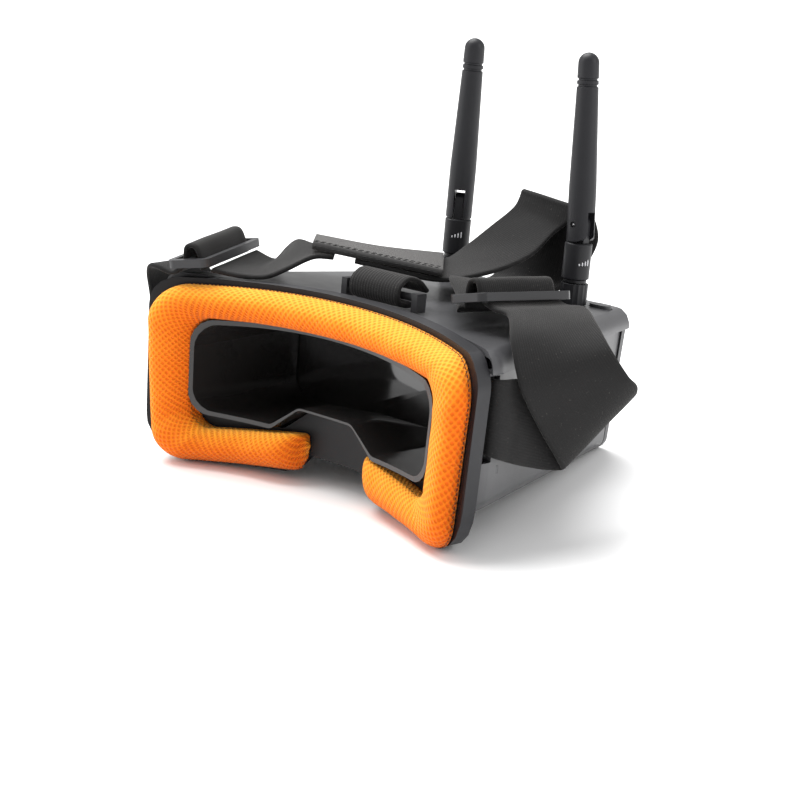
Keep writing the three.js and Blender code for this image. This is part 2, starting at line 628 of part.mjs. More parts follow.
add('side_strap_right', webbing([
  [[73.5, 12.1, 20], [73.5, 12.1, 45.4]],
  [[79.4, 11.4, 19.8], [79.4, 11.4, 45.6]],
  [[79.6, 20, 17], [80.4, 24, 45]],
  [[79.4, 31, 14], [84, 42, 42.4]],
  [[80.6, 41, 12], [91, 60, 39]],
  [[83.4, 44, 12.4], [95.4, 64, 39.4]],
  [[85, 39, 17], [98.2, 61.5, 42.6]],
  [[84.6, 28, 29], [98.4, 55.5, 46.6]],
  [[83.6, 17.2, 43.6], [94, 50.5, 55]],
  [[77.5, 18, 57], [81.6, 58, 60.4]],
  [rightBuckle.at(-19.6, -16, -6), rightBuckle.at(19.6, -16, -5)],
  ...overBuckle(rightBuckle, -3.9),
], 96), 'web');

add('head_strap', webbing([
  through(rightBuckle, 7.6, -3.9),
  [[33, 41, 63.5], [34, 77, 62]],
  [[20, 52, 66.2], [24, 86, 61.5]],
  [[9.5, 71, 58.8], [22.5, 97, 58.4]],
  [[-5, 96, 57.8], [21.5, 108, 57.8]],
  [[-11, 115.6, 59], [21.6, 118.4, 60]],
  [[-10.4, 121.4, 70], [27.4, 122, 69]],
  [[-8.6, 121.8, 82], [31, 122.2, 79]],
  [[-6, 120.4, 91], [26.5, 121.2, 87.4]],
  [[-5, 116, 86], [16.6, 117, 80.4]],
  [[-7.6, 108, 79], [17.4, 100, 71]],
  [[-12, 97.6, 70], [13, 80, 64.6]],
  [[-17.4, 90, 63.6], [4.4, 65.6, 61.8]],
  [[-38, 77, 63.4], [-15, 51, 64.4]],
  [[-44, 72.6, 63.8], [-21.6, 47.2, 65.2]],
], 110), 'web');

add('junction_patch', webbing([
  [[-59.6, 64.8, 67.4], [-35, 38.2, 69.4]],
  [[-38, 77.6, 65.8], [-14.8, 51, 67]],
  [[-17.2, 91, 66], [6, 64.6, 64.4]],
], 10), 'web');

add('side_strap_left', webbing([
  [[-73.5, 12.1, 45.4], [-73.5, 12.1, 20]],
  [[-79.4, 11.4, 45.4], [-79.4, 11.4, 20]],
  [[-85, 16, 45], [-85.4, 11.6, 19]],
  [[-88, 30, 43], [-88, 13, 17]],
  [[-90, 45, 40], [-88, 14, 16]],
  [[-94, 48, 40], [-90.6, 12.6, 17]],
  [[-94.6, 47, 46], [-88.6, 9, 41]],
  [leftBuckle.at(-19.4, -15, -5.4), leftBuckle.at(18.6, -17.8, -0.9)],
  ...overBuckle(leftBuckle, -3.8),
], 84), 'web');

add('head_strap_left', webbing([
  through(leftBuckle, 7.6, -3.2),
  [[-66.4, 49, 58.4], [-53, 13.4, 57]],
  [[-66, 52, 58.2], [-47, 18, 56.6]],
  [[-64.8, 55, 62.6], [-41, 22.5, 57.4]],
  [[-62.5, 58.5, 66], [-36.5, 27, 60.4]],
  [[-57, 61.8, 64.8], [-32, 37, 65.6]],
  [[-50.5, 67, 64.1], [-27.8, 42.4, 65.9]],
], 36), 'web');

// Bracket on the lid behind the brow, and the top strap that loops over its bar.
const BRACKET = { middle: 3, half: 16, y: 37, z: 59.4 };
function topBracket() {
  let body = solid(new THREE.CylinderGeometry(1.4, 1.4, BRACKET.half * 2 + 2, 16).rotateZ(Math.PI / 2)
    .translate(BRACKET.middle, BRACKET.y, BRACKET.z));
  for (const side of [-1, 1]) {
    const x = BRACKET.middle + side * (BRACKET.half + 1);
    body = body.add(box(x - 1.3, x + 1.3, BRACKET.y - 2.4, BRACKET.y + 2.4, CASE_TOP + GAP, BRACKET.z + 2));
  }
  return body;
}
add('top_bracket', topBracket(), 'dark');

add('top_strap', webbing([
  [[-9, 40.6, 56.2], [15, 40.6, 56.2]],
  [[-9, 37, 56], [15, 37, 56]],
  [[-9, 33, 57.6], [15, 33, 57.6]],
  [[-9, 32.8, 62.4], [15, 32.8, 62.4]],
  [[-9, 37, 65.4], [15, 37, 65.4]],
  [[-9, 43, 64.2], [15, 43, 64.2]],
  [[-9, 47.6, 60.6], [15, 47.6, 60.6]],
], 40), 'web');

// ---- Resting place ------------------------------------------------------------------------------
// Tipped forward until the frame and the front of the floor are equally low, origin under the middle.
function restingTilt() {
  const corners = [];
  level.updateMatrixWorld(true);
  level.traverse((object) => {
    if (!object.isMesh) return;
    const position = object.geometry.attributes.position;
    for (const i of range(position.count)) {
      const p = V3().fromBufferAttribute(position, i).applyMatrix4(object.matrixWorld);
      if (p.z < 2) corners.push(p);
    }
  });
  const lowest = (tilt, keep) => Math.min(...corners.filter(keep)
    .map((p) => p.z * Math.cos(tilt) - p.y * Math.sin(tilt)));
  let [low, high] = [0, 0.3];
  for (const unused of range(30)) {
    const tilt = (low + high) / 2;
    if (lowest(tilt, (p) => p.y < 60) < lowest(tilt, (p) => p.y > 60)) low = tilt;
    else high = tilt;
  }
  return low;
}

level.rotation.x = -restingTilt();
goggles.updateMatrixWorld(true);
const extent = new THREE.Box3().setFromObject(goggles, true);
const middle = extent.getCenter(V3());
level.position.set(-middle.x, -middle.y, -extent.min.z);

export default goggles;
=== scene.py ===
import math

import bpy
from mathutils import Matrix, Vector
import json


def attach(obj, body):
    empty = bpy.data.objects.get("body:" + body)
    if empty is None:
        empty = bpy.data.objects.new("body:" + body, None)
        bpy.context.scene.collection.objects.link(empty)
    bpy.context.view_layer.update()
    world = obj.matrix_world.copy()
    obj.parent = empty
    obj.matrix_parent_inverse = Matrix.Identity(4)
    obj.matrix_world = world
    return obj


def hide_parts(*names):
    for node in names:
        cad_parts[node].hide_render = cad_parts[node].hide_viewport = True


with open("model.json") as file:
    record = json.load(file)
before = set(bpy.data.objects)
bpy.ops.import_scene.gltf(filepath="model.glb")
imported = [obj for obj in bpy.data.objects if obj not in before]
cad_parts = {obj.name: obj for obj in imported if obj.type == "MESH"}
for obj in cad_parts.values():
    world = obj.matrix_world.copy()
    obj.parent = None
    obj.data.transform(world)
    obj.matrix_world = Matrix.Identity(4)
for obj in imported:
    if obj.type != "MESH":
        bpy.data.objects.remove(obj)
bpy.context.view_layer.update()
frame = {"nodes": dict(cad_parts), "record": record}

MM = 0.001
TILT = (0.99236, 0.12337)          # cosine and sine of the goggles' resting tilt
SHIFT = (-1.97972, -64.95732, 15.54499)


def place(p):
    """A point of the level goggles, in mm, as a point of the row frame, in metres."""
    x, y, z = p
    c, s = TILT
    return Vector((x + SHIFT[0], c * y + s * z + SHIFT[1], c * z - s * y + SHIFT[2])) * MM


# ---- Camera -------------------------------------------------------------------------------------
CAMERA_ROLL = math.radians(0.3)
eye = Vector((463.07, -509.95, 244.29)) * MM
look = Vector((-0.64793, 0.69831, -0.30422))
cam_data = bpy.data.cameras.new("camera")
cam_data.lens = 88.48
cam_data.sensor_width = 36
cam = bpy.data.objects.new("camera", cam_data)
aim = look.to_track_quat("-Z", "Y").to_matrix().to_4x4()
cam.matrix_world = Matrix.Translation(eye) @ aim @ Matrix.Rotation(CAMERA_ROLL, 4, "Z")
bpy.context.scene.collection.objects.link(cam)
bpy.context.scene.camera = cam


# ---- Material helpers ---------------------------------------------------------------------------
class Shader:
    """A Principled material with a few shortcuts for procedural detail."""

    def __init__(self, name, color, rough, metal=0.0, spec=0.5):
        self.mat = bpy.data.materials.new(name)
        self.mat.use_nodes = True
        self.nodes = self.mat.node_tree.nodes
        self.links = self.mat.node_tree.links
        self.bsdf = self.nodes["Principled BSDF"]
        self.bsdf.inputs["Base Color"].default_value = (*color, 1)
        self.bsdf.inputs["Roughness"].default_value = rough
        self.bsdf.inputs["Metallic"].default_value = metal
        self.bsdf.inputs["Specular IOR Level"].default_value = spec
        self.mat.diffuse_color = (*color, 1)

    def node(self, kind, **values):
        made = self.nodes.new(kind)
        for key, value in values.items():
            setattr(made, key, value)
        return made

    def link(self, a, b):
        self.links.new(a, b)

    def set(self, **values):
        for key, value in values.items():
            self.bsdf.inputs[key.replace("_", " ")].default_value = value
        return self

    def math(self, op, a, b=0.0, c=0.0):
        made = self.node("ShaderNodeMath", operation=op)
        for socket, value in zip(made.inputs, (a, b, c)):
            if isinstance(value, (int, float)):
                socket.default_value = value
            else:
                self.link(value, socket)
        return made.outputs[0]

    def noise(self, size, detail=3.0, rough=0.6, stretch=None, uv=False):
        """Noise whose features are about size mm across, from 0 to 1."""
        where = self.node("ShaderNodeTexCoord").outputs["UV" if uv else "Object"]
        if stretch:
            mapping = self.node("ShaderNodeMapping")
            mapping.inputs["Scale"].default_value = stretch
            self.link(where, mapping.inputs["Vector"])
            where = mapping.outputs[0]
        made = self.node("ShaderNodeTexNoise")
        made.inputs["Scale"].default_value = 1 / (size * MM)
        made.inputs["Detail"].default_value = detail
        made.inputs["Roughness"].default_value = rough
        self.link(where, made.inputs["Vector"])
        return made.outputs["Fac"]

    def uv(self):
        split = self.node("ShaderNodeSeparateXYZ")
        self.link(self.node("ShaderNodeTexCoord").outputs["UV"], split.inputs[0])
        return split.outputs[0], split.outputs[1]

    def ramp(self, value, stops):
        made = self.node("ShaderNodeValToRGB")
        elements = made.color_ramp.elements
        while len(elements) < len(stops):
            elements.new(0.5)
        for element, (at, color) in zip(elements, stops):
            element.position = at
            element.color = (*color, 1)
        self.link(value, made.inputs[0])
        return made.outputs[0]

    def mix(self, fac, a, b, mode="MIX"):
        made = self.node("ShaderNodeMix", data_type="RGBA", blend_type=mode)
        for socket, value in zip((made.inputs[0], made.inputs[6], made.inputs[7]), (fac, a, b)):
            if isinstance(value, (int, float)):
                socket.default_value = value
            elif isinstance(value, tuple):
                socket.default_value = (*value, 1)
            else:
                self.link(value, socket)
        return made.outputs[2]

    def bump(self, height, distance, strength=1.0):
        """distance in mm."""
        made = self.node("ShaderNodeBump")
        made.inputs["Distance"].default_value = distance * MM
        made.inputs["Strength"].default_value = strength
        self.link(height, made.inputs["Height"])
        previous = self.bsdf.inputs["Normal"].links
        if previous:
            self.link(previous[0].from_socket, made.inputs["Normal"])
        self.link(made.outputs[0], self.bsdf.inputs["Normal"])
        return self

    def color(self, socket):
        self.link(socket, self.bsdf.inputs["Base Color"])
        return self

    def roughness(self, low, high, size, detail=4.0):
        made = self.node("ShaderNodeMapRange")
        made.inputs["To Min"].default_value = low
        made.inputs["To Max"].default_value = high
        self.link(self.noise(size, detail), made.inputs["Value"])
        self.link(made.outputs[0], self.bsdf.inputs["Roughness"])
        return self


def moulded(name, color, rough, grain=0.35, depth=0.02, wear=0.12, spec=0.5):
    """Moulded plastic: a fine spark-eroded grain and slightly uneven gloss."""
    s = Shader(name, color, rough, spec=spec)
    s.roughness(rough - wear / 2, rough + wear / 2, 9)
    s.bump(s.noise(grain, 2), depth, 0.6)
    lighter = tuple(min(1, c * 1.12 + 0.002) for c in color)
    s.color(s.mix(s.noise(14, 4), color, lighter))
    return s.mat


DIMPLE = 2.5                       # spacing of the foam mesh's dimples, mm


def foam_material():
    """Orange spacer mesh: staggered dimples in a fine knit, with painted light that makes it yellower where it faces
    the light and painted shade in the dimple holes.
    """
    s = Shader("foam_mesh", (0.9, 0.24, 0.01), 0.9, spec=0.2)
    u, v = s.uv()
    pitch = math.pi / (DIMPLE * MM)
    a = s.math("SINE", s.math("MULTIPLY", s.math("ADD", u, v), pitch))
    b = s.math("SINE", s.math("MULTIPLY", s.math("SUBTRACT", u, v), pitch))
    cell = s.math("ABSOLUTE", s.math("MULTIPLY", a, b))
    hole = s.math("POWER", cell, 1.3)
    thread = s.noise(0.3, 2)
    # Painted light: faces turned toward the light direction set below are coloured yellower, faces turned away a
    # darker orange.
    facing = s.node("ShaderNodeVectorMath", operation="DOT_PRODUCT")
    s.link(s.node("ShaderNodeNewGeometry").outputs["Normal"], facing.inputs[0])
    facing.inputs[1].default_value = Vector((-0.5, -0.12, 0.85)).normalized()
    soft = s.math("MULTIPLY_ADD", facing.outputs["Value"], 0.5, 0.5)
    body = s.ramp(soft, [
        (0.0, (0.74, 0.125, 0.002)), (0.45, (0.88, 0.2, 0.007)),
        (0.75, (0.95, 0.34, 0.02)), (1.0, (0.97, 0.46, 0.05))])
    # Painted shade: the dimple holes are darkened towards a dark red.
    hole_shade_tone = s.mix(1.0, body, (0.8, 0.42, 0.15), "MULTIPLY")
    hole_shaded = s.mix(s.math("MULTIPLY", hole, 0.75), body, hole_shade_tone)
    s.color(s.mix(s.math("MULTIPLY", thread, 0.28), hole_shaded, s.mix(1.0, hole_shaded, (0.85, 0.6, 0.3), "MULTIPLY")))
    s.bump(s.math("SUBTRACT", 1.0, hole), 0.55, 0.8)
    s.bump(thread, 0.1, 0.6)
    s.bump(s.noise(9, 2), 0.7, 0.35)
    s.set(Sheen_Weight=0.25, Sheen_Roughness=0.4)
    s.bsdf.inputs["Sheen Tint"].default_value = (1, 0.75, 0.3, 1)
    return s.mat


def webbing_material(name, color, rib=1.0, depth=0.08, fuzz=0.24, lint=True, spec=0.2, tone_depth=0.12):
    """Woven webbing: ribs along its length, picks across it, and lint."""
    s = Shader(name, color, 0.8, spec=spec)
    u, v = s.uv()
    ribs = s.math("SINE", s.math("MULTIPLY", v, 2 * math.pi / (rib * MM)))
    picks = s.math("SINE", s.math("MULTIPLY", u, 2 * math.pi / (0.62 * MM)))
    weave = s.math("MULTIPLY_ADD", s.math("MULTIPLY", ribs, picks), 0.25, s.math("MULTIPLY", ribs, 0.35))
    fibre = s.noise(0.22, 3)
    pale = tuple(c * 2.1 + 0.004 for c in color)
    tone = s.mix(s.math("MULTIPLY_ADD", weave, tone_depth, 0.3), color, pale)
    tone = s.mix(s.math("MULTIPLY", s.noise(26, 4), 0.5), tone, tuple(c * 0.55 for c in color))
    if lint:
        specks = s.ramp(s.noise(0.7, 1.5, 0.4), [(0.0, (0, 0, 0)), (0.70, (0, 0, 0)), (0.76, (1, 1, 1))])
        tone = s.mix(s.math("MULTIPLY", specks, 0.16), tone, (0.22, 0.2, 0.18))
    s.color(tone)
    s.bump(weave, depth, 0.8)
    s.bump(fibre, 0.09, 0.9)
    s.set(Sheen_Weight=fuzz, Sheen_Roughness=0.35)
    s.bsdf.inputs["Sheen Tint"].default_value = (0.6, 0.58, 0.56, 1)
    return s.mat


def metal(name, color, rough):
    s = Shader(name, color, rough, metal=1.0)
    s.bump(s.noise(0.3, 3, stretch=(1, 1, 6)), 0.02, 0.5)
    s.roughness(rough - 0.06, rough + 0.08, 3)
    return s.mat


MATS = {
    "frame_plastic": moulded("frame_plastic", (0.022, 0.022, 0.025), 0.42),
    "case_plastic": moulded("case_plastic", (0.05, 0.05, 0.053), 0.34),
    "button_plastic": moulded("button_plastic", (0.03, 0.03, 0.033), 0.35),
    "buckle_plastic": moulded("buckle_plastic", (0.026, 0.026, 0.028), 0.36, grain=0.5, depth=0.03, spec=0.35),
    "antenna_plastic": moulded("antenna_plastic", (0.009, 0.009, 0.011), 0.45, spec=0.3),
    "antenna_rubber": moulded("antenna_rubber", (0.011, 0.011, 0.0135), 0.46, grain=0.2, depth=0.015, spec=0.32),
    "component_black": moulded("component_black", (0.02, 0.02, 0.02), 0.5),
    "diffuser": moulded("diffuser", (0.7, 0.7, 0.7), 0.6),
    "battery_wrap": moulded("battery_wrap", (0.05, 0.12, 0.3), 0.3),
    "circuit_board": moulded("circuit_board", (0.01, 0.09, 0.035), 0.4, grain=1.5),
    "steel": metal("steel", (0.55, 0.55, 0.56), 0.3),
    "gold_plating": metal("gold_plating", (0.75, 0.55, 0.22), 0.28),
    "shield_metal": metal("shield_metal", (0.6, 0.6, 0.61), 0.35),
    "webbing": webbing_material("webbing", (0.01, 0.0097, 0.0098)),
    "elastic": webbing_material("elastic", (0.011, 0.0105, 0.0105), rib=1.3, depth=0.22, tone_depth=0.4),
    "foam_mesh": foam_material(),
}
inner_black = moulded("inner_black", (0.017, 0.0155, 0.015), 0.22, depth=0.01)
# Face frame: satin dark grey on faces turned outward from the opening, painted shade in near black on the front face
# and the walls of the opening.
frame_with_shade = Shader("frame_painted_shade", (0.04, 0.04, 0.043), 0.42, spec=0.22)
from_middle = frame_with_shade.node("ShaderNodeVectorMath", operation="MULTIPLY_ADD")
frame_with_shade.link(frame_with_shade.node("ShaderNodeTexCoord").outputs["Object"], from_middle.inputs[0])
from_middle.inputs[1].default_value = (1, 0, 1)
from_middle.inputs[2].default_value = (0, 0, -0.036)
outwards = frame_with_shade.node("ShaderNodeVectorMath", operation="NORMALIZE")
frame_with_shade.link(from_middle.outputs[0], outwards.inputs[0])
facing_out = frame_with_shade.node("ShaderNodeVectorMath", operation="DOT_PRODUCT")
frame_with_shade.link(frame_with_shade.node("ShaderNodeNewGeometry").outputs["Normal"], facing_out.inputs[0])
frame_with_shade.link(outwards.outputs[0], facing_out.inputs[1])
satin = frame_with_shade.mix(frame_with_shade.noise(12, 4), (0.024, 0.024, 0.026), (0.03, 0.03, 0.033))
rim = frame_with_shade.node("ShaderNodeMapRange")
rim.inputs["From Min"].default_value = 0.3
rim.inputs["From Max"].default_value = 0.6
frame_with_shade.link(facing_out.outputs["Value"], rim.inputs["Value"])
# Painted shade: near black wherever the faces do not turn outward from the opening.
frame_with_shade.color(frame_with_shade.mix(rim.outputs[0], (0.008, 0.008, 0.009), satin))
frame_with_shade.roughness(0.36, 0.5, 9)
frame_with_shade.bump(frame_with_shade.noise(0.35, 2), 0.02, 0.6)
lens = Shader("lens_glass", (0.012, 0.0115, 0.011), 0.06, spec=0.8)
lens.set(Coat_Weight=0.4, Coat_Roughness=0.04)
lens.bump(lens.noise(22, 2), 0.05, 0.4)
MATS["lens_glass"] = lens.mat
screen = Shader("screen_glass", (0.005, 0.005, 0.006), 0.12)
screen.bump(screen.noise(0.4, 1), 0.01, 0.4)
MATS["screen_glass"] = screen.mat

for entry in frame["record"]["subparts"]:
    node = frame["nodes"][entry["node"]]
    node.data.materials.clear()
    node.data.materials.append(MATS[entry["material_slot"]])
for name in ("light_tunnel", "lens_frame", "screen_bezel"):
    frame["nodes"][name].data.materials[0] = inner_black
frame["nodes"]["face_frame"].data.materials[0] = frame_with_shade.mat


# ---- Mesh helpers -------------------------------------------------------------------------------
def mesh_object(name, verts, faces, uvs=None, smooth=True):
    mesh = bpy.data.meshes.new(name)
    mesh.from_pydata([tuple(v) for v in verts], [], faces)
    mesh.validate()
    if uvs is not None:
        layer = mesh.uv_layers.new(name="UVMap")
        for loop in mesh.loops:
            layer.data[loop.index].uv = uvs[loop.vertex_index]
    if smooth:
        mesh.polygons.foreach_set("use_smooth", [True] * len(mesh.polygons))
    mesh.update()
    obj = bpy.data.objects.new(name, mesh)
    bpy.context.scene.collection.objects.link(obj)
    return obj


def spline(points, t):
    """Point at share t of a centripetal Catmull-Rom curve through points."""
    pts = [Vector(p) for p in points]
    at = min(max(t, 0), 1) * (len(pts) - 1)
    i = min(int(at), len(pts) - 2)
    w = at - i
    p1, p2 = pts[i], pts[i + 1]
    p0 = pts[i - 1] if i else p1 * 2 - p2
    p3 = pts[i + 2] if i + 2 < len(pts) else p2 * 2 - p1
    d0, d1, d2 = ((b - a).length_squared ** 0.25 for a, b in ((p0, p1), (p1, p2), (p2, p3)))
    d1 = d1 if d1 > 1e-4 else 1
    d0 = d0 if d0 > 1e-4 else d1
    d2 = d2 if d2 > 1e-4 else d1
    m1 = ((p1 - p0) / d0 - (p2 - p0) / (d0 + d1) + (p2 - p1) / d1) * d1
    m2 = ((p2 - p1) / d1 - (p3 - p1) / (d1 + d2) + (p3 - p2) / d2) * d1
    return p1 + m1 * w + (p1 * -3 + p2 * 3 - m1 * 2 - m2) * w * w + (p1 * 2 - p2 * 2 + m1 + m2) * w ** 3


def web_section(across, thick, width):
    """Cross-section of webbing: share across, and share of half the thickness, round its edges."""
    edge = min(thick / width * 0.5, 0.05)
    round_ = [(edge * (1 - math.cos(a)), math.sin(a)) for a in (0, math.pi / 6, math.pi / 3, math.pi / 2)]
    flat = [edge + (1 - 2 * edge) * k / across for k in range(1, across)]
    top = round_ + [(s, 1.0) for s in flat] + [(1 - s, h) for s, h in reversed(round_)]
    return top + [(s, -h) for s, h in reversed(top[1:-1])]


def webbing(name, pairs, steps, thick=1.8, across=22, ripple=0.0, swell=None):
    """Woven strap through pairs of edge points, in mm of the level goggles."""
    left = [p[0] for p in pairs]
    right = [p[1] for p in pairs]
    rows = [(spline(left, i / steps), spline(right, i / steps)) for i in range(steps + 1)]
    section = web_section(across, thick, (rows[0][1] - rows[0][0]).length)
    verts, uvs, run = [], [], 0.0
    for i, (a, b) in enumerate(rows):
        j, k = max(i - 1, 0), min(i + 1, steps)
        along = ((rows[k][0] + rows[k][1]) - (rows[j][0] + rows[j][1])).normalized()
        width = (b - a).length
        normal = (b - a).cross(along).normalized()
        if i:
            run += ((a + b) / 2 - (rows[i - 1][0] + rows[i - 1][1]) / 2).length
        for share, height in section:
            wave = ripple * math.sin(run * 0.21 + share * 3.1) * math.sin(share * 6.1 + run * 0.05)
            bulge = (swell(i / steps) if swell else 1.0) * thick / 2 * height
            p = a.lerp(b, share) + normal * (bulge + wave)
            verts.append(place(p))
            uvs.append((run * MM, share * width * MM))
    n = len(section)
    faces = [(i * n + j, i * n + (j + 1) % n, (i + 1) * n + (j + 1) % n, (i + 1) * n + j)
             for i in range(steps) for j in range(n)]
    faces += [tuple(range(n))[::-1], tuple(steps * n + j for j in range(n))]
    obj = mesh_object(name, verts, faces, uvs)
    obj["run"] = run
    return obj


def threads(name, pieces, radius, mat, sides=6):
    """Short round stitches: one capsule per (start, end), in mm of the level goggles."""
    verts, faces = [], []
    for a, b in pieces:
        a, b = Vector(a), Vector(b)
        axis = (b - a).normalized()
        side = axis.orthogonal().normalized()
        other = axis.cross(side)
        base = len(verts)
        for share, width in ((0, 0.35), (0.12, 0.85), (0.5, 1.0), (0.88, 0.85), (1, 0.35)):
            centre = a.lerp(b, share)
            for k in range(sides):
                w = 2 * math.pi * k / sides
                verts.append(place(centre + (side * math.cos(w) + other * math.sin(w)) * radius * width))
        for r in range(4):
            for k in range(sides):
                q = base + r * sides
                faces.append((q + k, q + (k + 1) % sides, q + sides + (k + 1) % sides, q + sides + k))
        faces.append(tuple(base + k for k in range(sides))[::-1])
        faces.append(tuple(base + 4 * sides + k for k in range(sides)))
    obj = mesh_object(name, verts, faces)
    obj.data.materials.append(mat)
    return obj


def dashes(points, length, gap, start=0.0):
    """Pairs of points that cut a line into stitches."""
    out, at, on = [], start, None
    marks = [0.0]
    for a, b in zip(points, points[1:]):
        marks.append(marks[-1] + (b - a).length)

    def at_length(d):
        for i in range(1, len(marks)):
            if marks[i] >= d:
                t = (d - marks[i - 1]) / max(marks[i] - marks[i - 1], 1e-9)
                return points[i - 1].lerp(points[i], t)
        return points[-1]

    while at + length < marks[-1]:
        out.append((at_length(at), at_length(at + length)))
        at += length + gap
    return out


# ---- Foam pad -----------------------------------------------------------------------------------
FACE_DEPTH, FACE_HALF, FACE_POWER = 22.8, 80, 2.14
CROWN, SEAM_HALF_TOP, SEAM_HALF_BOTTOM, SEAM_TOP, SEAM_BOTTOM = 4.4, 78.5, 72.5, 50.4, -15.2
FOAM_HALF, FOAM_THICK = 61, 10
FOAM_SECTION = [
    (0, 0.03), (0.05, 0.42), (0.18, 0.74), (0.36, 0.94), (0.56, 1), (0.8, 0.94), (0.95, 0.78), (1, 0.6), (0.99, 0.03)]
PATH_STEPS, CORNER_STEPS = [30, 22, 70, 22, 26], 18


def face_curve(x):
    return FACE_DEPTH * (1 - min(abs(x) / FACE_HALF, 1) ** FACE_POWER)


def open_path(corners, straights, per):
    """Line through (x, z, radius) corners, rounded, with counted points on each stretch."""
    groups = [[Vector((corners[0][0], corners[0][1], 0))]]
    for before, (x, z, radius), after in zip(corners, corners[1:], corners[2:]):
        corner = Vector((x, z, 0))
        u = (Vector((before[0], before[1], 0)) - corner).normalized()
        v = (Vector((after[0], after[1], 0)) - corner).normalized()
        half = math.acos(max(-1, min(1, u.dot(v)))) / 2
        centre = corner + (u + v).normalized() * radius / math.sin(half)
        a = corner + u * radius / math.tan(half) - centre
        b = corner + v * radius / math.tan(half) - centre
        groups.append([centre + a.lerp(b, k / per).normalized() * radius for k in range(per + 1)])
    groups.append([Vector((corners[-1][0], corners[-1][1], 0))])
    points = []
    for i, group in enumerate(groups):
        if i:
            last = groups[i - 1][-1]
            points += [last.lerp(group[0], k / straights[i - 1]) for k in range(1, straights[i - 1])]
        points += group
    return points


def lifted(p):
    return Vector((p.x, p.y + CROWN * (1 - (p.x / SEAM_HALF_TOP) ** 2), 0)) if p.y > 20 else p


OUTER = [lifted(p) for p in open_path(
    [(-13.6, -8.8, 0), (-SEAM_HALF_BOTTOM, SEAM_BOTTOM, 11), (-SEAM_HALF_TOP, SEAM_TOP, 12.5),
     (SEAM_HALF_TOP, SEAM_TOP, 12.5), (SEAM_HALF_BOTTOM, SEAM_BOTTOM, 11), (19.5, -10, 0)], PATH_STEPS, CORNER_STEPS)]
INNER = [lifted(p) for p in open_path(
    [(-11, 6, 0), (2.4 - FOAM_HALF, -0.8, 7), (1.4 - FOAM_HALF, 38.6, 7),
     (FOAM_HALF - 0.8, 38.6, 7), (FOAM_HALF - 2, -0.8, 7), (17.5, 6, 0)], PATH_STEPS, CORNER_STEPS)]


middle = [a.lerp(b, 0.5) for a, b in zip(OUTER, INNER)]
marks = [0.0]
for a, b in zip(middle, middle[1:]):
    marks.append(marks[-1] + (b - a).length)


def rounding(i, reach, power):
    """From 0 at the foam's cut ends to 1 at reach mm in, as a rounded nose."""
    from_end = min(marks[i], marks[-1] - marks[i])
    return max(0.0, 1 - (1 - min(from_end / reach, 1)) ** power) ** (1 / power)


def foam_point(i, share, height):
    """Point on the foam at station i: share of the way in from the seam, height off the frame."""
    p = OUTER[i].lerp(INNER[i], 0.5 + (share - 0.5) * (0.3 + 0.7 * rounding(i, 5.5, 2.6)))
    full = 0.06 + 0.94 * rounding(i, 11, 2)
    wave = 1 + 0.02 * math.sin(i * 0.23) + 0.012 * math.sin(i * 0.61 + 1)
    tall = FOAM_THICK * height * (full if height > 0.1 else 1) * wave
    return Vector((p.x, face_curve(p.x) - tall, p.y))


def foam():
    rows = 44
    profile = [spline([(s, h, 0) for s, h in FOAM_SECTION], k / rows) for k in range(rows + 1)]
    verts, uvs, run = [], [], 0.0
    for i in range(len(OUTER)):
        if i:
            run += (foam_point(i, 0.4, 1) - foam_point(i - 1, 0.4, 1)).length
        ring = [foam_point(i, p.x, max(p.y, 0.03)) for p in profile]
        across = 0.0
        for k, p in enumerate(ring):
            across += (p - ring[k - 1]).length if k else 0.0
            verts.append(place(p))
            uvs.append((run * MM, across * MM))
    n = rows + 1
    faces = [(i * n + k, i * n + (k + 1) % n, (i + 1) * n + (k + 1) % n, (i + 1) * n + k)
             for i in range(len(OUTER) - 1) for k in range(n)]
    faces += [tuple(range(n)), tuple((len(OUTER) - 1) * n + k for k in range(n))[::-1]]
    pad = mesh_object("foam", verts, faces, uvs)
    pad.data.materials.append(MATS["foam_mesh"])
    return pad


foam_pad = foam()
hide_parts("foam_pad")
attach(foam_pad, "goggles")

thread_dark = Shader("thread_dark", (0.07, 0.018, 0.004), 0.8).mat
thread_olive = Shader("thread_olive", (0.16, 0.09, 0.012), 0.85).mat
thread_grey = Shader("thread_grey", (0.02, 0.019, 0.019), 0.75).mat
seam_line = [foam_point(i, 0.006, 0.13) + Vector((0, -0.1, 0)) for i in range(len(OUTER))]
outer_stitches = threads("foam_seam_stitches", dashes(seam_line, 1.1, 0.5), 0.2, thread_dark)
rim_line = [foam_point(i, 1.0, 0.5) for i in range(2, len(INNER) - 2)]
zigzag = []
for j, (a, b) in enumerate(dashes(rim_line, 0.8, 0.1)):
    inward = Vector((0, 1.1 if j % 2 else -0.9, 0))
    zigzag.append((a + inward * 0.5, b - inward * 0.5))
inner_stitches = threads("foam_rim_stitches", zigzag, 0.17, thread_olive)
for obj in (outer_stitches, inner_stitches):
    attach(obj, "goggles")


# ---- Headband -----------------------------------------------------------------------------------
class Buckle:
    """Frame of a buckle: bars along u, spaced across v, flat faces along w."""

    def __init__(self, centre, along, across):
        self.centre = Vector(centre)
        self.u = Vector(along).normalized()
        self.w = self.u.cross(Vector(across)).normalized()
        self.v = self.w.cross(self.u)

    def at(self, a, b, c):
        return self.centre + self.u * a + self.v * b + self.w * c

    def through(self, v, w, half=18.8):
        return (self.at(-half, v, w), self.at(half, v, w))

    def over(self, under):
        return [self.through(-8.6, under), self.through(-3.6, -0.6), self.through(-1.6, 5.6),
                self.through(1.6, 5.6), self.through(3.6, 0), self.through(3.9, -3)]


right_buckle = Buckle((49.5, 51, 64.6), (0.08, 1, -0.03), (-0.96, 0.08, -0.22))
left_buckle = Buckle((-71.2, 24, 61.4), (0.35, -0.92, -0.085), (0.92, 0.2, 0.14))

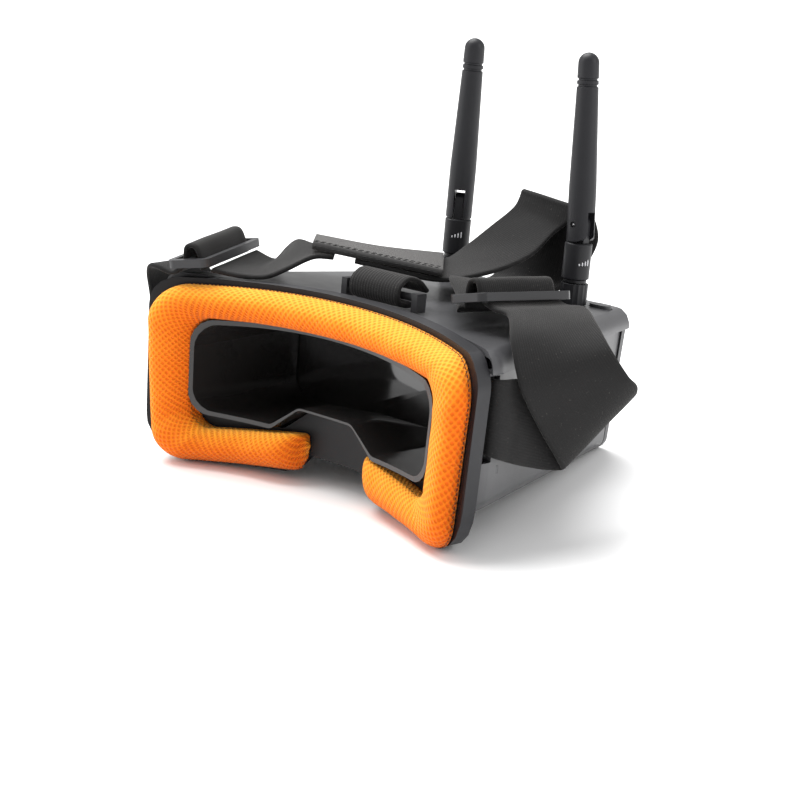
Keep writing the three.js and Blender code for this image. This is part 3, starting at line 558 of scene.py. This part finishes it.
SIDE_RIGHT = [
    ((73.5, 12.1, 20), (73.5, 12.1, 45.4)), ((79.4, 11.4, 19.8), (79.4, 11.4, 45.6)),
    ((79.6, 20, 17), (80.4, 24, 45)), ((79.4, 31, 14), (84, 42, 42.4)),
    ((80.6, 41, 12), (91, 60, 39)), ((83.4, 44, 12.4), (95.4, 64, 39.4)),
    ((85, 39, 17), (98.2, 61.5, 42.6)), ((84.6, 28, 29), (98.4, 55.5, 46.6)),
    ((83.6, 17.2, 43.6), (94, 50.5, 55)), ((77.5, 18, 57), (81.6, 58, 60.4)),
    (right_buckle.at(-19.6, -16, -6), right_buckle.at(19.6, -16, -5)), *right_buckle.over(-3.9)]
HEAD_CREST = ((-6, 120.4, 91), (26.5, 121.2, 87.4))
HEAD = [
    right_buckle.through(7.6, -3.9), ((33, 41, 63.5), (34, 77, 62)), ((20, 52, 66.2), (24, 86, 61.5)),
    ((9.5, 71, 58.8), (22.5, 97, 58.4)), ((-5, 96, 57.8), (21.5, 108, 57.8)),
    ((-11, 115.6, 59), (21.6, 118.4, 60)), ((-10.4, 121.4, 70), (27.4, 122, 69)),
    ((-8.6, 121.8, 82), (31, 122.2, 79)), HEAD_CREST,
    ((-5, 116, 86), (16.6, 117, 80.4)), ((-7.6, 108, 79), (17.4, 100, 71)),
    ((-12, 97.6, 70), (13, 80, 64.6)), ((-17.4, 90, 63.6), (4.4, 65.6, 61.8)),
    ((-38, 77, 63.4), (-15, 51, 64.4)), ((-44, 72.6, 63.8), (-21.6, 47.2, 65.2))]
SIDE_LEFT = [
    ((-73.5, 12.1, 45.4), (-73.5, 12.1, 20)), ((-79.4, 11.4, 45.4), (-79.4, 11.4, 20)),
    ((-85, 16, 45), (-85.4, 11.6, 19)), ((-88, 30, 43), (-88, 13, 17)),
    ((-90, 45, 40), (-88, 14, 16)), ((-94, 48, 40), (-90.6, 12.6, 17)),
    ((-94.6, 47, 46), (-88.6, 9, 41)),
    (left_buckle.at(-19.4, -15, -5.4), left_buckle.at(18.6, -17.8, -0.9)), *left_buckle.over(-3.8)]
HEAD_LEFT = [
    left_buckle.through(7.6, -3.2), ((-66.4, 49, 58.4), (-53, 13.4, 57)), ((-66, 52, 58.2), (-47, 18, 56.6)),
    ((-64.8, 55, 62.6), (-41, 22.5, 57.4)), ((-62.5, 58.5, 66), (-36.5, 27, 60.4)),
    ((-57, 61.8, 64.8), (-32, 37, 65.6)), ((-50.5, 67, 64.1), (-27.8, 42.4, 65.9))]
PATCH = [
    ((-59.6, 64.8, 67.4), (-35, 38.2, 69.4)), ((-38, 77.6, 65.8), (-14.8, 51, 67)),
    ((-17.2, 91, 66), (6, 64.6, 64.4))]
TOP = [
    ((-9, 40.6, 56.2), (15, 40.6, 56.2)), ((-9, 37, 56), (15, 37, 56)), ((-9, 33, 57.6), (15, 33, 57.6)),
    ((-9, 32.8, 62.4), (15, 32.8, 62.4)), ((-9, 37, 65.4), (15, 37, 65.4)), ((-9, 43, 64.2), (15, 43, 64.2)),
    ((-9, 47.6, 60.6), (15, 47.6, 60.6))]


def strap(name, node, pairs, steps, mat, slot, held, rests, **looks):
    """Webbing in place of a CAD node."""
    obj = webbing(name, pairs, steps, **looks)
    obj.data.materials.append(mat)
    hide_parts(node)
    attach(obj, "goggles")
    return obj


web = MATS["webbing"]
strap("side_strap_right_web", "side_strap_right", SIDE_RIGHT, 260, web, "webbing", "folded",
      ["lower_case", "buckle_right"], ripple=0.12)
CREST = HEAD.index(HEAD_CREST) / (len(HEAD) - 1)
HEM = 0.016                        # half-length of the swollen hem at the crest, as a share of the strap
strap("head_strap_web", "head_strap", HEAD, 420, web, "webbing", "folded",
      ["buckle_right", "top_case"], ripple=0.1,
      swell=lambda t: 1 + 0.9 * math.exp(-(((t - CREST) / HEM) ** 2)))
strap("side_strap_left_web", "side_strap_left", SIDE_LEFT, 220, web, "webbing", "folded",
      ["lower_case", "buckle_left"], ripple=0.1)
strap("head_strap_left_web", "head_strap_left", HEAD_LEFT, 90, web, "webbing", "laid",
      ["buckle_left", "top_case"], ripple=0.1)
strap("top_strap_web", "top_strap", TOP, 120, MATS["elastic"], "elastic", "folded", ["top_bracket"], thick=1.8)
felt = webbing_material("patch_web", (0.035, 0.034, 0.034), rib=0.9, depth=0.1, fuzz=0.5)
strap("junction_patch_web", "junction_patch", PATCH, 60, felt, "webbing", "laid", ["head_strap"], thick=3.0)

patch_near = [p[1] for p in PATCH]
patch_far = [p[0] for p in PATCH]
rows = []
for inset, lift in ((0.0, 0.0), (0.045, 1.6), (0.13, 1.6)):
    line = [spline(patch_near, k / 60).lerp(spline(patch_far, k / 60), inset) + Vector((0, 0, lift))
            for k in range(61)]
    rows += dashes(line, 1.6, 0.8, start=inset * 8)
patch_stitches = threads("patch_stitches", rows, 0.2, thread_grey)
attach(patch_stitches, "goggles")


# ---- Marks on the antenna feet ------------------------------------------------------------------
white = Shader("print_white", (0.75, 0.75, 0.78), 0.6).mat
FOOT_X, FOOT_Y, FOOT_OUTSIDE = 29.7, 112.4, 5.13
for side, name, facing, height in ((-1, "left", -50, 70.6), (1, "right", -22, 69.6)):
    bars = []
    for k in range(4):
        angle = math.radians(facing + (k - 1.5) * 13)
        x = side * FOOT_X + FOOT_OUTSIDE * math.cos(angle)
        y = FOOT_Y + FOOT_OUTSIDE * math.sin(angle)
        bars.append(((x, y, height), (x, y, height + 0.8 + k * 0.55)))
    mark = threads("mark_" + name, bars, 0.26, white)
    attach(mark, "antenna_foot_" + name)


# ---- Softened edges on the moulded parts --------------------------------------------------------
SOFT_EDGES = {
    "face_frame": 1.1, "top_case": 0.9, "lower_case": 0.5, "front_cover": 0.5,
    "buckle_right": 0.75, "buckle_left": 0.75,
    "power_button": 0.5, "channel_button": 0.5, "band_button": 0.5, "search_button": 0.5, "antenna_nut_left": 0.15,
    "antenna_nut_right": 0.15, "hinge_base_left": 0.2, "hinge_base_right": 0.2, "whip_left": 0.2, "whip_right": 0.2,
    "top_bracket": 0.5, "light_tunnel": 0.4, "lens_frame": 0.3}
for name, node in frame["nodes"].items():
    node.data.polygons.foreach_set("use_smooth", [True] * len(node.data.polygons))
    weld = node.modifiers.new("weld", "WELD")
    weld.merge_threshold = 1e-6
    if name in SOFT_EDGES:
        flat = node.modifiers.new("flat", "DECIMATE")
        flat.decimate_type = "DISSOLVE"
        flat.angle_limit = math.radians(1.5)
        bevel = node.modifiers.new("bevel", "BEVEL")
        bevel.width = SOFT_EDGES[name] * MM
        bevel.segments = 3
        bevel.limit_method = "ANGLE"
        bevel.angle_limit = math.radians(38)
    normals = node.modifiers.new("normals", "WEIGHTED_NORMAL")
    normals.keep_sharp = False
    normals.weight = 60


# ---- Floor, light -------------------------------------------------------------------------------
floor_mat = Shader("floor", (0.93, 0.93, 0.93), 0.55, spec=0.3)
floor_mat.bump(floor_mat.noise(0.8, 2), 0.01, 0.2)
floor = mesh_object("floor", [(-6, -6, 0), (6, -6, 0), (6, 6, 0), (-6, 6, 0)], [(0, 1, 2, 3)], smooth=False)
floor.data.materials.append(floor_mat.mat)

world = bpy.data.worlds.new("studio")
bpy.context.scene.world = world
world.use_nodes = True
world.node_tree.nodes["Background"].inputs["Color"].default_value = (1, 1, 1, 1)
world.node_tree.nodes["Background"].inputs["Strength"].default_value = 0.72


def lamp(name, where, at, width, height, power):
    data = bpy.data.lights.new(name, "AREA")
    data.shape = "RECTANGLE"
    data.size = width
    data.size_y = height
    data.energy = power
    obj = bpy.data.objects.new(name, data)
    direction = Vector(at) - Vector(where)
    obj.matrix_world = Matrix.Translation(Vector(where)) @ direction.to_track_quat("-Z", "Y").to_matrix().to_4x4()
    bpy.context.scene.collection.objects.link(obj)
    return obj


sun_data = bpy.data.lights.new("sun", "SUN")
sun_data.energy = 4.6
sun_data.angle = math.radians(50)
sun = bpy.data.objects.new("sun", sun_data)
sun.matrix_world = Vector((0.5, -0.12, -1)).to_track_quat("-Z", "Y").to_matrix().to_4x4()
bpy.context.scene.collection.objects.link(sun)
lamp("window_left", (-1.1, -0.9, 0.7), (0, 0, 0.05), 0.7, 0.9, 6)
lamp("window_right", (1.1, 0.5, 0.7), (0, 0, 0.08), 0.5, 0.8, 5)
bpy.context.scene.view_settings.view_transform = "Standard"
